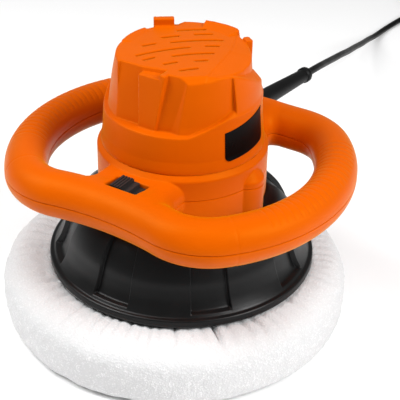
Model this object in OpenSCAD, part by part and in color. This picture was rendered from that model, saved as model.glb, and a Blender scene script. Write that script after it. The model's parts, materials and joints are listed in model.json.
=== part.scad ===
// Orbital car polisher with a ring handle, a bell skirt and a fabric bonnet on a foam pad.
// The origin is on the motor axis at the surface the bonnet rests on; the switch faces -Y.

/* [Housing] */
// Radius of the motor body at the parting plane
body_r = 63; // [60:0.5:64]
// Height of the parting plane between the housing halves
split_z = 126.5; // [125:0.5:128]
// Wall thickness of the moulded housings
wall = 2.8; // [2.2:0.1:3.2]
// Height of the vented face on top of the motor cover
cover_top = 213; // [211:0.5:216]

/* [Handle] */
// Radius of the ring handle's centreline
ring_r = 112; // [108:1:116]
// Half width of the handle tube
tube_r = 15.5; // [14:0.5:16]
// Height of the handle tube
tube_h = 33.4; // [32:0.2:36]
// Bend radius of the handle's front corners
front_bend_r = 40; // [36:1:44]

/* [Pad] */
// Offset of the pad spindle from the motor axis
orbit = 5; // [3:0.5:5]
// Direction of that offset at rest
orbit_angle = 212; // [0:1:359]
// Outer radius of the fabric bonnet
bonnet_r = 130; // [126:0.5:132]
// Outer radius of the skirt's rim
skirt_r = 100; // [98:0.5:102]
// Height of the skirt's rim above the resting surface
skirt_z = 48; // [47.5:0.5:50]

/* [Cord] */
// Diameter of the power cord
cord_d = 6.2; // [5.6:0.1:6.6]

/* [Hidden] */
$fn = 72;
orange = "#e86a10";
black = "#1c1c1e";
steel = "silver";

// handle plan: round sides, bent corners, a shallow dip at the front and a straight back
ring_y = -2;
front_turn = 47;
back_turn = 49;
back_bend_r = 42;
dip_angle = 12;
front_bend_x = (ring_r - front_bend_r) * sin(front_turn);
front_bend_y = ring_y - (ring_r - front_bend_r) * cos(front_turn);
back_bend_x = (ring_r - back_bend_r) * sin(back_turn);
back_bend_y = ring_y + (ring_r - back_bend_r) * cos(back_turn);
dip_end_x = front_bend_x - front_bend_r * sin(dip_angle);
dip_r = dip_end_x / sin(dip_angle);
dip_y = front_bend_y - front_bend_r * cos(dip_angle) - dip_r * cos(dip_angle);
back_y = back_bend_y + back_bend_r;
lap = 1;
step = 0.1;

// front and back bridges between ring and body
bridge_x = 4;
bridge_w = 62;
bridge_h = 30.6;
bridge_bend = 12;
bridge_front_y = -88;
bridge_back_y = 86;
bridge_body_y = 52;

// motor body
body_floor_z = 104;
body_shoulder_z = 139;
body_top_z = 146;
body_top_r = 61.2;
boss_r = 13;
boss_at = 54;
boss_angle = 87;
boss_z = 131;
screw_at = 57;

// switch
switch_x = 4.5;
switch_y = -76;
well_w = 25.5;
well_d = 16.5;
slider_travel = 6;

// motor
stack_z = 130;
stack_h = 38;
stack_r = 42;
post_at = 37.5;
shaft_r = 6;

// boot and cord
exit_y = 98.6;
boot_len = 95;
boot_tilt = -6;
floor_r = cord_d / 2;
boot_tip = [0, 104 + boot_len * cos(boot_tilt), split_z + boot_len * sin(boot_tilt)];
lying = floor_r + 0.2;
cord_route = [[-2.6, 225, 111.8], [-9.4, 258, 102.3], [-16.7, 292, 92.1], [-24, 326, 82], [-37, 374, 65],
    [-51, 423, 48], [-64, 474, 31], [-77, 525, 15], [-82, 556, 7], [-84, 588, lying],
    [-82, 612, lying], [-79, 640, lying], [-77.8, 664, lying], [-77.4, 684, lying]];
coil_centre = [-35, 692, 0];
coil_mean_r = 36;
coil_w = 18.6;
coil_h = 18.6;
plug_at = [36, 676, 0];
plug_route = [[36, 712, 6.9], [36, 716, 6.9], [34.6, 724.7, 6.2], [30.7, 732.5, 5.2], [24.5, 738.7, 4.2],
    [16.7, 742.6, 3.6], [8, 744, lying], [-8, 742.5, lying], [-24, 737.5, lying], [-32, 733, lying]];

// pad
foam_r = 122.5;
hem_r = 94;

// ---- helpers ----
module arc_sweep(centre, radius, start, sweep)
    translate([centre[0], centre[1], 0]) rotate([0, 0, start])
        rotate_extrude(angle = sweep) translate([radius, 0]) children();

// one side of the handle: the bends are a hair thinner and sit inside the ends of their neighbours
module ring_side(grow, side) {
    arc_sweep([0, ring_y], ring_r, front_turn - 90 - lap, 180 - front_turn - back_turn + 2 * lap)
        tube_half(grow, side);
    arc_sweep([front_bend_x, front_bend_y], front_bend_r, -90 - dip_angle, front_turn + dip_angle)
        tube_half(grow + step, side);
    arc_sweep([back_bend_x, back_bend_y], back_bend_r, 90 - back_turn, back_turn)
        tube_half(grow + step, side);
}

// the half of the handle tube above (1) or below (-1) the parting plane, shrunk by grow
module ring_path(grow, side) {
    ring_side(grow, side);
    mirror([1, 0, 0]) ring_side(grow, side);
    arc_sweep([0, dip_y], dip_r, 90 - dip_angle - lap / 2, 2 * dip_angle + lap) tube_half(grow, side);
    translate([-back_bend_x - 1, back_y, 0]) rotate([90, 0, 90]) linear_extrude(2 * back_bend_x + 2)
        tube_half(grow, side);
}

// upright slot shape, centred on the parting plane
module slot(r, h) {
    translate([0, split_z + h / 2 - r]) circle(r);
    translate([0, split_z - h / 2 + r]) circle(r);
    translate([-r, split_z - h / 2 + r]) square([2 * r, h - 2 * r]);
}

module rounded(w, h, r) {
    for (x = [r - w / 2, w / 2 - r], y = [r - h / 2, h / 2 - r]) translate([x, y]) circle(r);
    square([w - 2 * r, h], center = true);
    square([w, h - 2 * r], center = true);
}

// the half of a 2D section above (1) or below (-1) the parting plane, and a little past it
module half(side, past) intersection() {
    children();
    translate([-80, side > 0 ? split_z - past : split_z - 60 + past]) square([160, 60]);
}
module tube_half(grow, side) half(side, grow < 1 ? 0.5 : 1) slot(tube_r - grow, tube_h - 2 * grow);

// all that lies across the parting plane from a housing half
module far_side(side) translate([-160, -160, side > 0 ? split_z - 10 : split_z]) cube([320, 320, 10]);

module bridges(grow, side) {
    for (run = [[bridge_front_y, -bridge_body_y], [bridge_body_y, bridge_back_y]])
        translate([bridge_x, run[1], 0]) rotate([90, 0, 0]) linear_extrude(run[1] - run[0])
            half(side, grow < 1 ? 0.5 : 1) translate([0, split_z])
                rounded(bridge_w - 2 * grow, bridge_h - 2 * grow, bridge_bend - grow);
}

module at_bosses() for (s = [-1, 1]) rotate([0, 0, s * boss_angle]) translate([0, -boss_at, 0]) children();
module ring_screw_places() for (x = [-1, 1], y = [-48, 44])
    translate([x * sqrt(ring_r * ring_r - (y - ring_y) * (y - ring_y)), y, 0]) children();
module boss_screw_places() for (s = [-1, 1]) rotate([0, 0, s * boss_angle])
    translate([0, -screw_at, 0]) children();
module clamp_places() for (x = [-7, 7]) translate([x, 83, 0]) children();
module quarter(r, start = 45) for (a = [0 : 90 : 270]) rotate([0, 0, start + a])
    translate([r, 0, 0]) children();

module ring_of(outer, inner, h) difference() {
    cylinder(r = outer, h = h);
    translate([0, 0, -1]) cylinder(r = inner, h = h + 2);
}

module screw(head_r, head_h, shank_r, length) {
    difference() {
        cylinder(r = head_r, h = head_h);
        for (a = [0, 90])
            rotate([0, 0, a]) translate([-head_r * 0.6, -0.5, -0.1]) cube([head_r * 1.2, 1, 1.1]);
    }
    translate([0, 0, head_h]) cylinder(r = shank_r, h = length);
}

// the strain relief's hole, turned about the boot's axis
module boot_frame() translate([0, 104, split_z]) rotate([boot_tilt, 0, 0]) rotate([-90, 0, 0]) children();
module cord_bore() translate([0, 86, split_z]) rotate([-90, 0, 0]) cylinder(r = floor_r + 0.1, h = 6);
module boot_anchor() translate([0, 91, split_z]) rotate([-90, 0, 0]) {
    cylinder(r = 9, h = 3);
    cylinder(r = 6.5, h = 13);
}

// ---- housings ----
module lower_housing() color(orange) difference() {
    union() {
        ring_path(0, -1);
        bridges(0, -1);
        translate([0, 0, body_floor_z]) cylinder(r = body_r, h = split_z - body_floor_z + 1);
        at_bosses() translate([0, 0, body_floor_z + 1]) cylinder(r = boss_r, h = split_z - body_floor_z);
    }
    far_side(-1);
    difference() {
        union() {
            ring_path(wall, -1);
            bridges(wall, -1);
            translate([0, 0, body_floor_z + 3]) cylinder(r = body_r - wall, h = 30);
        }
        ring_screw_places() translate([0, 0, 100]) cylinder(r = 4.5, h = 30);
        boss_screw_places() translate([0, 0, 100]) cylinder(r = 5, h = 30);
        clamp_places() translate([0, 0, 100]) cylinder(r = 3.5, h = 30);
        translate([-13, 88, 100]) cube([26, 12, 40]);
    }
    clamp_places() translate([0, 0, 117]) cylinder(r = 1.5, h = 20);
    translate([0, 0, 90]) cylinder(r = 40, h = 20);
    ring_screw_places() {
        translate([0, 0, 100]) cylinder(r = 3.6, h = 15.5);
        translate([0, 0, 100]) cylinder(r = 2.1, h = 40);
    }
    boss_screw_places() {
        translate([0, 0, 100]) cylinder(r = 3.6, h = 9.5);
        translate([0, 0, 100]) cylinder(r = 2.1, h = 40);
    }
    quarter(54, 22.5) translate([0, 0, 100]) cylinder(r = 1.8, h = 20);
    quarter(47, 0) translate([0, 0, 100]) cylinder(r = 1.6, h = 20);
    boot_anchor();
    cord_bore();
}

module upper_housing() color(orange) difference() {
    union() {
        ring_path(0, 1);
        bridges(0, 1);
        rotate_extrude() polygon([[0, split_z - 1], [body_r, split_z - 1], [body_r, body_shoulder_z],
            [body_r - 0.6, body_shoulder_z + 2], [body_top_r, body_shoulder_z + 4],
            [body_top_r - 1.4, body_top_z], [0, body_top_z]]);
        at_bosses() {
            translate([0, 0, split_z - 1]) cylinder(r = boss_r, h = boss_z - split_z + 1);
            intersection() {
                translate([0, 0, boss_z]) sphere(boss_r);
                translate([0, 0, split_z]) cylinder(r = boss_r, h = 30);
            }
        }
    }
    far_side(1);
    difference() {
        union() {
            ring_path(wall, 1);
            bridges(wall, 1);
            translate([0, 0, split_z - 2]) cylinder(r = body_r - wall - 2.4, h = 40);
        }
        ring_screw_places() translate([0, 0, 120]) cylinder(r = 4.5, h = 30);
        boss_screw_places() translate([0, 0, 120]) cylinder(r = 5, h = 18);
        translate([-13, 88, 120]) cube([26, 12, 40]);
        quarter(54) translate([0, 0, 138]) cylinder(r = 5, h = 20);
    }
    ring_screw_places() translate([0, 0, 120]) cylinder(r = 1.7, h = 16);
    boss_screw_places() translate([0, 0, 120]) cylinder(r = 1.7, h = 16);
    quarter(54) translate([0, 0, 130]) cylinder(r = 2.1, h = 30);
    translate([switch_x - well_w / 2, switch_y - well_d / 2, 130]) cube([well_w, well_d, 20]);
    boot_anchor();
    cord_bore();
}

// profiles of the motor cover from its foot to its top: the outside, and the room inside
cover_outside = [[0, body_top_z], [body_top_r, body_top_z], [body_top_r - 1.6, 149], [57.6, 154],
    [56.4, 181], [50, 190], [47.6, cover_top - 2.5], [46, cover_top], [0, cover_top]];
cover_room = [[0, body_top_z - 1], [58.2, body_top_z - 1], [58.2, 148], [54.8, 154], [54.6, 168],
    [48.6, 170], [46.8, 190], [44.8, cover_top - wall], [0, cover_top - wall]];

// a recess in the cover's side, open to the outside
module side_recess(from, to, z0, depth_r) rotate([0, 0, from - 90]) rotate_extrude(angle = to - from)
    polygon([[depth_r, z0], [70, z0], [70, 195], [depth_r - 2, 195]]);

slot_rows = [[-13, 18, 27], [-13, -17, 14], [-6, 4, 28], [-6, -23, 12], [-6, 24, 12],
    [2, -14, 44], [2, 20, 10], [10, 8, 32], [10, -22, 12], [17, -6, 14], [17, 14, 14], [24, 8, 20]];

module motor_cover() color(orange) difference() {
    union() {
        rotate_extrude() polygon(cover_outside);
        for (a = [-134, 143]) rotate([0, 0, a]) translate([-7, -50, 196]) cube([14, 9, 23]);
    }
    difference() {
        rotate_extrude() polygon(cover_room);
        quarter(54) translate([0, 0, 140]) cylinder(r = 4.5, h = 22);
    }
    quarter(54) translate([0, 0, 140]) cylinder(r = 1.7, h = 16);
    side_recess(-52, 42, 172.5, 51.5);
    rotate([0, 0, 40]) for (s = slot_rows) translate([s[1] - s[2] / 2, -s[0] - 0.9, cover_top - 8])
        cube([s[2], 1.8, 16]);
}

module label_plate() color(black) rotate([0, 0, 62 - 90]) rotate_extrude(angle = 42)
    polygon([[57.58, 154.5], [58.2, 154.5], [57.2, 176.5], [56.6, 176.5]]);

// ---- skirt ----
function bell(g) = [[skirt_r - g, skirt_z], [skirt_r - g, skirt_z + 5 - g], [96.5 - g, skirt_z + 6.5],
    [91.5 - g, 63], [87 - g, 76 - g * 0.3], [79.5 - g, 90 - g * 0.6], [70.5 - g, 99.5 - g],
    [63 - g, body_floor_z - g]];

module skirt() color(black) difference() {
    rotate_extrude() polygon(concat([[22, body_floor_z], [22, 101], [60, 101]],
        [for (i = [len(bell(2.6)) - 2 : -1 : 0]) bell(2.6)[i]], bell(0)));
    quarter(54, 22.5) translate([0, 0, 95]) cylinder(r = 2.1, h = 20);
}

// ---- fasteners ----
module housing_screws() color(steel) {
    ring_screw_places() translate([0, 0, 112.9]) screw(3.3, 2.6, 1.7, 19);
    boss_screw_places() translate([0, 0, 106.9]) screw(3.3, 2.6, 1.7, 25);
}
module cover_screws() color(steel) quarter(54) translate([0, 0, 135.2]) screw(3.3, 2.8, 1.7, 16);
module skirt_screws() color(steel) quarter(54, 22.5) translate([0, 0, 98.4]) screw(3.3, 2.6, 1.8, 6);
module frame_screws() color(steel) quarter(47, 0) translate([0, 0, 112.8]) mirror([0, 0, 1])
    screw(3, 2.8, 1.6, 6);

// ---- switch and wiring ----
module switch_slider() color(black) translate([switch_x, switch_y, 0]) {
    translate([-19, -7.6, 136.8]) cube([33, 15.2, 1.9]);
    difference() {
        translate([-8.6, -7.6, 138.7]) cube([9.2, 15.2, 5.2]);
        for (x = [-7 : 2.2 : 0]) translate([x, -8, 143.2]) cube([0.9, 16, 1]);
    }
    translate([0.6, -7.6, 138.7]) cube([4.6, 15.2, 3]);
}
module switch_body() color("#303030") difference() {
    translate([switch_x - 15, switch_y - 9, 117.5]) cube([30, 18, 19]);
    translate([switch_x - 11, switch_y - 4, 134]) cube([22, 8, 3]);
}
module switch_terminals() color("gold") for (x = [-8, 8])
    translate([switch_x + x - 0.4, switch_y - 3, 114.3]) cube([0.8, 6, 3.2]);
module suppression_capacitor() color("khaki") translate([43.6, -9, 113]) cube([6.6, 18, 14]);
module inner_leads() color("saddlebrown") for (z = [116, 119.5]) {
    translate([0, 0, z]) rotate([0, 0, 96]) rotate_extrude(angle = 168) translate([48, 0]) circle(1.4);
    for (s = [-1, 1]) translate([48 * cos(96), s * 48 * sin(96), z]) rotate([-90 * s, 0, 0])
        cylinder(r = 1.4, h = s > 0 ? 30 : 18);
}
module cord_clamp() color(black) difference() {
    translate([-11, 80, split_z]) cube([22, 6, 5.8]);
    translate([-3.2, 79, split_z - 1]) cube([6.4, 8, 4.1]);
    clamp_places() translate([0, 0, split_z - 1]) cylinder(r = 1.5, h = 9);
}
module clamp_screws() color(steel) clamp_places() translate([0, 0, split_z + 7.7]) mirror([0, 0, 1])
    screw(2.6, 1.9, 1.5, 14);
module inner_cord()
    color(black) translate([0, 74, split_z]) rotate([-90, 0, 0]) cylinder(r = floor_r, h = 17);

module strain_relief() color(black) {
    boot_anchor();
    boot_frame() rotate_extrude() polygon([[0, 0], [7.4, 0], [7.4, 6], [7, 30], [6.3, 60], [5.7, 88],
        [6.7, 89.5], [6.7, boot_len - 1.5], [6.1, boot_len], [0, boot_len]]);
}

// round tube swept along points, as one polyhedron
function unit(v) = v / norm(v);
function tangent(p, i) = unit(p[min(i + 1, len(p) - 1)] - p[max(i - 1, 0)]);
function spline_point(p, i, t) =
    let (a = p[max(i - 1, 0)], b = p[i], c = p[i + 1], d = p[min(i + 2, len(p) - 1)])
    0.5 * (2 * b + (c - a) * t + (2 * a - 5 * b + 4 * c - d) * t * t + (3 * b - a - 3 * c + d) * t * t * t);
module tube(points, r, sides) {
    n = len(points);
    rings = [for (i = [0 : n - 1])
        let (t = tangent(points, i), u = unit(cross(t, [0, 0, 1])), v = cross(u, t))
        for (k = [0 : sides - 1]) points[i] + r * (cos(360 * k / sides) * u + sin(360 * k / sides) * v)];
    polyhedron(rings, concat([[for (k = [0 : sides - 1]) sides - 1 - k]],
        [for (i = [0 : n - 2], k = [0 : sides - 1]) [i * sides + k, i * sides + (k + 1) % sides,
            (i + 1) * sides + (k + 1) % sides, (i + 1) * sides + k]],
        [[for (k = [0 : sides - 1]) (n - 1) * sides + k]]));
}
function smooth(route) = concat([for (i = [0 : len(route) - 2], t = [0 : 0.34 : 0.9])
    spline_point(route, i, t)], [route[len(route) - 1]]);
module power_cord() color(black) tube(smooth(concat([boot_tip], cord_route)), floor_r, 10);
module plug_lead() color(black) tube(smooth(plug_route), floor_r, 10);
module cord_coil() color(black) translate(coil_centre) rotate_extrude()
    translate([coil_mean_r - coil_w / 2, 0]) square([coil_w, coil_h]);
module coil_tie() color("#3a3a3c") translate(coil_centre) rotate([0, 0, 20])
    translate([coil_mean_r, 0, coil_h]) translate([-coil_w / 2, -5, 0]) cube([coil_w, 10, 1.6]);
module plug_body() color(black) translate(plug_at) translate([0, 0, 6.9]) rotate([-90, 0, 0])
    linear_extrude(36) rounded(26, 13.7, 6);
module plug_pins() color(steel) for (x = [-9, 9]) translate(plug_at + [x, -19, 6.9]) rotate([-90, 0, 0])
    cylinder(r = 2, h = 19);

// ---- motor ----
module motor_frame() color("gainsboro") difference() {
    union() {
        translate([0, 0, 107]) cylinder(r = 52, h = 3);
        translate([0, 0, 90]) cylinder(r = 20, h = 20);
        quarter(post_at) translate([0, 0, 109]) cylinder(r = 4, h = stack_z - 109);
    }
    translate([0, 0, 92]) cylinder(r = 16, h = 10);
    translate([0, 0, 80]) cylinder(r = 12, h = 40);
    quarter(post_at) translate([0, 0, 112]) cylinder(r = 1.7, h = 30);
    quarter(47, 0) translate([0, 0, 100]) cylinder(r = 1.9, h = 20);
    quarter(27, 0) translate([0, 0, 100]) cylinder(r = 4.5, h = 20);
}
module bearing(outer, bore, w, z) color(steel) translate([0, 0, z]) difference() {
    cylinder(r = outer, h = w);
    translate([0, 0, -1]) cylinder(r = bore, h = w + 2);
    translate([0, 0, w - 0.8]) ring_of(outer - 2.4, bore + 2, 2);
}
module lower_bearing() bearing(16, shaft_r + 0.02, 10, 92);
module field_stack() color("#8a8f94") translate([0, 0, stack_z]) difference() {
    cylinder(r = stack_r, h = stack_h);
    translate([0, 0, -1]) cylinder(r = 22.5, h = stack_h + 2);
    for (a = [20, 144, 200, 324]) rotate([0, 0, a]) translate([0, 0, -1])
        rotate_extrude(angle = 16) translate([20, 0]) square([14.3, stack_h + 2]);
    quarter(post_at) translate([0, 0, -1]) cylinder(r = 2.2, h = stack_h + 2);
}
module field_coils() color("#b5651d") for (a = [20, 200]) rotate([0, 0, a]) difference() {
    translate([0, 0, stack_z - 7])
        rotate_extrude(angle = 140) translate([24, 0]) square([9.2, stack_h + 14]);
    translate([0, 0, stack_z]) rotate([0, 0, 16]) rotate_extrude(angle = 108)
        translate([22, 0]) square([14, stack_h]);
}
module upper_bracket() color("#2b2b2d") {
    difference() {
        union() {
            translate([0, 0, stack_z + stack_h]) ring_of(42, 35, 10);
            translate([0, 0, 178]) ring_of(42, 17, 2.5);
            for (s = [-1, 1]) translate([-6, s * 27 - 3, 180.5]) cube([12, 6, 14.5]);
            translate([-6, -30, 192.5]) cube([12, 60, 2.5]);
            translate([0, 0, 192.5]) cylinder(r = 13.5, h = 8.5);
        }
        translate([0, 0, 194]) cylinder(r = 11, h = 8);
        translate([0, 0, 170]) cylinder(r = 6.5, h = 30);
        quarter(post_at) translate([0, 0, 160]) cylinder(r = 2.2, h = 40);
    }
}
module upper_bearing() bearing(11, 4.02, 7, 194);
module motor_screws() color(steel) quarter(post_at) translate([0, 0, 183.2]) mirror([0, 0, 1])
    screw(3.4, 2.7, 1.7, 66);
module brush_holders() color("goldenrod") for (s = [0, 180]) rotate([0, 0, s]) translate([13, -5, 180.5])
    difference() {
        cube([20, 10, 9]);
        translate([-1, 2, 1.5]) cube([22, 6, 6]);
    }
module carbon_brushes() color("#3b3b3b") for (s = [0, 180]) rotate([0, 0, s])
    translate([11.4, -2.9, 182.1]) cube([13, 5.8, 5.8]);
module brush_springs() color(steel) for (s = [0, 180]) rotate([0, 0, s]) translate([24.4, 0, 185])
    rotate([0, 90, 0]) difference() {
        cylinder(r = 2.3, h = 8.6);
        translate([0, 0, -1]) cylinder(r = 1.5, h = 12);
        for (x = [1 : 1.6 : 8]) translate([0, 0, x]) ring_of(3, 1.9, 0.7);
    }

// ---- rotor ----
module rotor_shaft() color(steel) {
    translate([0, 0, 64]) cylinder(r = shaft_r, h = 126);
    translate([0, 0, 190]) cylinder(r = 4, h = 12);
}
module armature_core() color("#8a8f94") difference() {
    translate([0, 0, stack_z]) cylinder(r = 21.8, h = stack_h);
    translate([0, 0, stack_z - 1]) cylinder(r = shaft_r, h = stack_h + 2);
    for (a = [0 : 30 : 330]) rotate([0, 0, a]) translate([19, -1, stack_z - 1]) cube([5, 2, stack_h + 2]);
}
module armature_winding() color("#b5651d") {
    translate([0, 0, stack_z - 8]) ring_of(19, shaft_r, 8);
    translate([0, 0, stack_z + stack_h]) ring_of(19, shaft_r, 8);
}
module commutator() color("#b87333") difference() {
    translate([0, 0, 177]) cylinder(r = 11, h = 13);
    translate([0, 0, 170]) cylinder(r = shaft_r, h = 30);
    for (a = [0 : 30 : 330]) rotate([0, 0, a]) translate([10, -0.3, 176]) cube([2, 0.6, 13]);
}
module cooling_fan() color("#2b2b2d") {
    translate([0, 0, 112]) ring_of(31, shaft_r, 1.6);
    translate([0, 0, 113.6]) ring_of(9, shaft_r, 6);
    for (a = [0 : 30 : 330]) rotate([0, 0, a]) translate([14, -0.7, 113.6]) cube([16, 1.4, 5]);
}
module eccentric_hub() color("#777777") rotate([0, 0, orbit_angle]) difference() {
    union() {
        translate([0, 0, 60]) cylinder(r = 15, h = 24);
        translate([orbit, 0, 45.6]) cylinder(r = 5.98, h = 14.4);
    }
    translate([0, 0, 64]) cylinder(r = shaft_r, h = 30);
    translate([orbit, 0, 40]) cylinder(r = 3, h = 17);
    translate([0, 0, 76]) rotate([0, -90, 0]) cylinder(r = 2, h = 20);
}
module hub_screw() color(steel) rotate([0, 0, orbit_angle]) translate([-6, 0, 76])
    rotate([0, -90, 0]) difference() {
    cylinder(r = 2, h = 8);
    translate([0, 0, 6]) cylinder(r = 1, h = 3);
}
module counterweight() color("#5c5f62") rotate([0, 0, orbit_angle + 100]) translate([0, 0, 60])
    rotate_extrude(angle = 160) translate([15, 0]) square([25, 16]);
module pad_washer() color(steel) rotate([0, 0, orbit_angle])
    translate([orbit, 0, 44.1]) ring_of(7.5, 3.05, 1.5);
module pad_bolt() color(steel) rotate([0, 0, orbit_angle]) translate([orbit, 0, 0]) {
    translate([0, 0, 40.1]) difference() {
        cylinder(r = 5.5, h = 4);
        translate([0, 0, -1]) cylinder(r = 2.6, h = 3.5, $fn = 6);
    }
    translate([0, 0, 44.1]) cylinder(r = 3, h = 12.9);
}

// ---- pad, about its own spindle ----
module on_spindle() rotate([0, 0, orbit_angle]) translate([orbit, 0, 0])
    rotate([0, 0, -orbit_angle]) children();
module pad_bearing() on_spindle() bearing(14, 6, 8, 47);
module backing_plate() color(black) on_spindle() difference() {
    union() {
        translate([0, 0, 39]) cylinder(r = 90, h = 3);
        translate([0, 0, 39]) cylinder(r = 20, h = 16);
        for (a = [0 : 45 : 315]) rotate([0, 0, a]) translate([19, -1.2, 41]) cube([62, 2.4, 4]);
    }
    translate([0, 0, 47]) cylinder(r = 14, h = 20);
    translate([0, 0, 38]) cylinder(r = 11, h = 30);
    for (a = [60, 180, 300]) rotate([0, 0, a]) translate([17, 0, 48]) cylinder(r = 1.2, h = 20);
}
module bearing_retainer() color(steel) on_spindle() difference() {
    translate([0, 0, 55]) ring_of(20, 11.5, 1.6);
    for (a = [60, 180, 300]) rotate([0, 0, a]) translate([17, 0, 50]) cylinder(r = 1.4, h = 20);
}
module retainer_screws() color(steel) on_spindle() for (a = [60, 180, 300]) rotate([0, 0, a])
    translate([17, 0, 58.2]) mirror([0, 0, 1]) screw(2.4, 1.6, 1.2, 8);
module foam_pad() color("#3c4a57") on_spindle() rotate_extrude()
    polygon([[11, 4], [foam_r - 5, 4], [foam_r, 9], [foam_r, 32], [foam_r - 6, 38], [foam_r - 12, 39],
        [11, 39]]);
module bonnet() color("white") on_spindle() rotate_extrude()
    polygon([[0, 0], [bonnet_r - 5, 0], [bonnet_r - 1.5, 4], [bonnet_r, 12], [bonnet_r, 27],
        [bonnet_r - 3, 37], [bonnet_r - 9, 43], [bonnet_r - 17, 45.6], [hem_r, 45.6], [hem_r, 39],
        [foam_r - 12, 39], [foam_r - 6, 38], [foam_r, 32], [foam_r, 9], [foam_r - 5, 4], [0, 4]]);
module bonnet_elastic()
    color("white") on_spindle() rotate_extrude() translate([hem_r - 1.6, 41]) circle(1.6);

lower_housing();
upper_housing();
motor_cover();
label_plate();
skirt();
housing_screws();
cover_screws();
skirt_screws();
frame_screws();
switch_slider();
switch_body();
switch_terminals();
suppression_capacitor();
inner_leads();
cord_clamp();
clamp_screws();
inner_cord();
strain_relief();
power_cord();
cord_coil();
coil_tie();
plug_lead();
plug_body();
plug_pins();
motor_frame();
lower_bearing();
field_stack();
field_coils();
upper_bracket();
upper_bearing();
motor_screws();
brush_holders();
carbon_brushes();
brush_springs();
rotor_shaft();
armature_core();
armature_winding();
commutator();
cooling_fan();
eccentric_hub();
counterweight();
hub_screw();
pad_washer();
pad_bolt();
pad_bearing();
bearing_retainer();
retainer_screws();
backing_plate();
foam_pad();
bonnet();
bonnet_elastic();
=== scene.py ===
import json
import math

import bmesh
import bpy
import numpy as np
import openvdb
from mathutils import Matrix, Vector, noise


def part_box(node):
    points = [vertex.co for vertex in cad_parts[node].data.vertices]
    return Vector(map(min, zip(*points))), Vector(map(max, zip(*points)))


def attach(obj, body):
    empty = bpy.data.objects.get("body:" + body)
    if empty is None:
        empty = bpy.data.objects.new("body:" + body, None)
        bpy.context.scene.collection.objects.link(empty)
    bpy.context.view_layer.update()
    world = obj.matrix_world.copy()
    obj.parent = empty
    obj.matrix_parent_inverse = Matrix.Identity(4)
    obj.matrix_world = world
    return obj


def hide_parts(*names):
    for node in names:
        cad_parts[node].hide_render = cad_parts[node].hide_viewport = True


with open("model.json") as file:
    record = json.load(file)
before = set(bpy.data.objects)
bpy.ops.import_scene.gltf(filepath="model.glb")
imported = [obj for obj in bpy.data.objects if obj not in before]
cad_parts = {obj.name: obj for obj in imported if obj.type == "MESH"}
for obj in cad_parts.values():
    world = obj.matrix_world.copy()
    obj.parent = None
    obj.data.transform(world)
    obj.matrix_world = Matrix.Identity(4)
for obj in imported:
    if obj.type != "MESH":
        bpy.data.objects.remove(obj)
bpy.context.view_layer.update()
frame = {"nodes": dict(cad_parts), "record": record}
MM = 0.001  # outlines and places below are in millimetres


def low(node):
    return [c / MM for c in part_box(node)[0]]


def high(node):
    return [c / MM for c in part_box(node)[1]]


def direction(azimuth, elevation):
    """Unit vector at an angle from the front towards +X and an angle above the floor."""
    a, e = math.radians(azimuth), math.radians(elevation)
    return Vector((math.sin(a) * math.cos(e), -math.cos(a) * math.cos(e), math.sin(e)))


# ---------------------------------------------------------------- camera
CAMERA_AZIMUTH, CAMERA_ELEVATION, CAMERA_ROLL = 32.4, 31.7, 0.65
CAMERA_AWAY, CAMERA_AIM_Z = 0.8, 0.09
CAMERA_LENS, CAMERA_SHIFT_X = 96.2, 0.045


def make_camera():
    data = bpy.data.cameras.new("camera")
    camera = bpy.data.objects.new("camera", data)
    bpy.context.scene.collection.objects.link(camera)
    data.sensor_width = 36.0
    data.lens = CAMERA_LENS
    data.shift_x = CAMERA_SHIFT_X
    data.clip_start, data.clip_end = 0.05, 30.0
    back = direction(CAMERA_AZIMUTH, CAMERA_ELEVATION)
    camera.location = Vector((0.0, 0.0, CAMERA_AIM_Z)) + CAMERA_AWAY * back
    level = (-back).to_track_quat("-Z", "Y").to_matrix()
    turn = level @ Matrix.Rotation(math.radians(CAMERA_ROLL), 3, "Z")
    camera.rotation_euler = turn.to_euler()
    bpy.context.scene.camera = camera


make_camera()

# ---------------------------------------------------------------- cord
CORD_D = 6.2
FLOOR_R = CORD_D / 2
SPLIT = low("upper_housing")[2]
BOOT_LEN, BOOT_TILT = 95.0, math.radians(-6.0)
BOOT_FROM = np.array([0.0, 104.0, SPLIT])
BOOT_DIR = np.array([0.0, math.cos(BOOT_TILT), math.sin(BOOT_TILT)])
BOOT_TIP = BOOT_FROM + BOOT_LEN * BOOT_DIR
LYING = FLOOR_R + 0.2  # height of the cord's centre where it lies on the floor
# from the boot down to the floor and along it to the coil
ROUTE = [(-2.6, 225, 111.8), (-9.4, 258, 102.3), (-16.7, 292, 92.1), (-24, 326, 82), (-37, 374, 65),
         (-51, 423, 48), (-64, 474, 31), (-77, 525, 15), (-82, 556, 7), (-84, 588, LYING),
         (-82, 612, LYING), (-79, 640, LYING), (-77.8, 664, LYING), (-77.4, 684, LYING)]
# from the coil round into the back of the plug
PLUG_ROUTE = [(8, 744, LYING), (16.7, 742.6, 3.6), (24.5, 738.7, 4.2), (30.7, 732.5, 5.2),
              (34.6, 724.7, 6.2), (36, 716, 6.9), (36, 712, 6.9)]
COIL_OUTER, COIL_INNER, COIL_LAYER = 42.6, 26.6, 6.3
COIL_FIRST, COIL_STEP, COIL_POINTS = 12, 18, 162
COIL_LAST = [2937, 2964]  # turned angles where the end steps over the coil's rim


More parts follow.
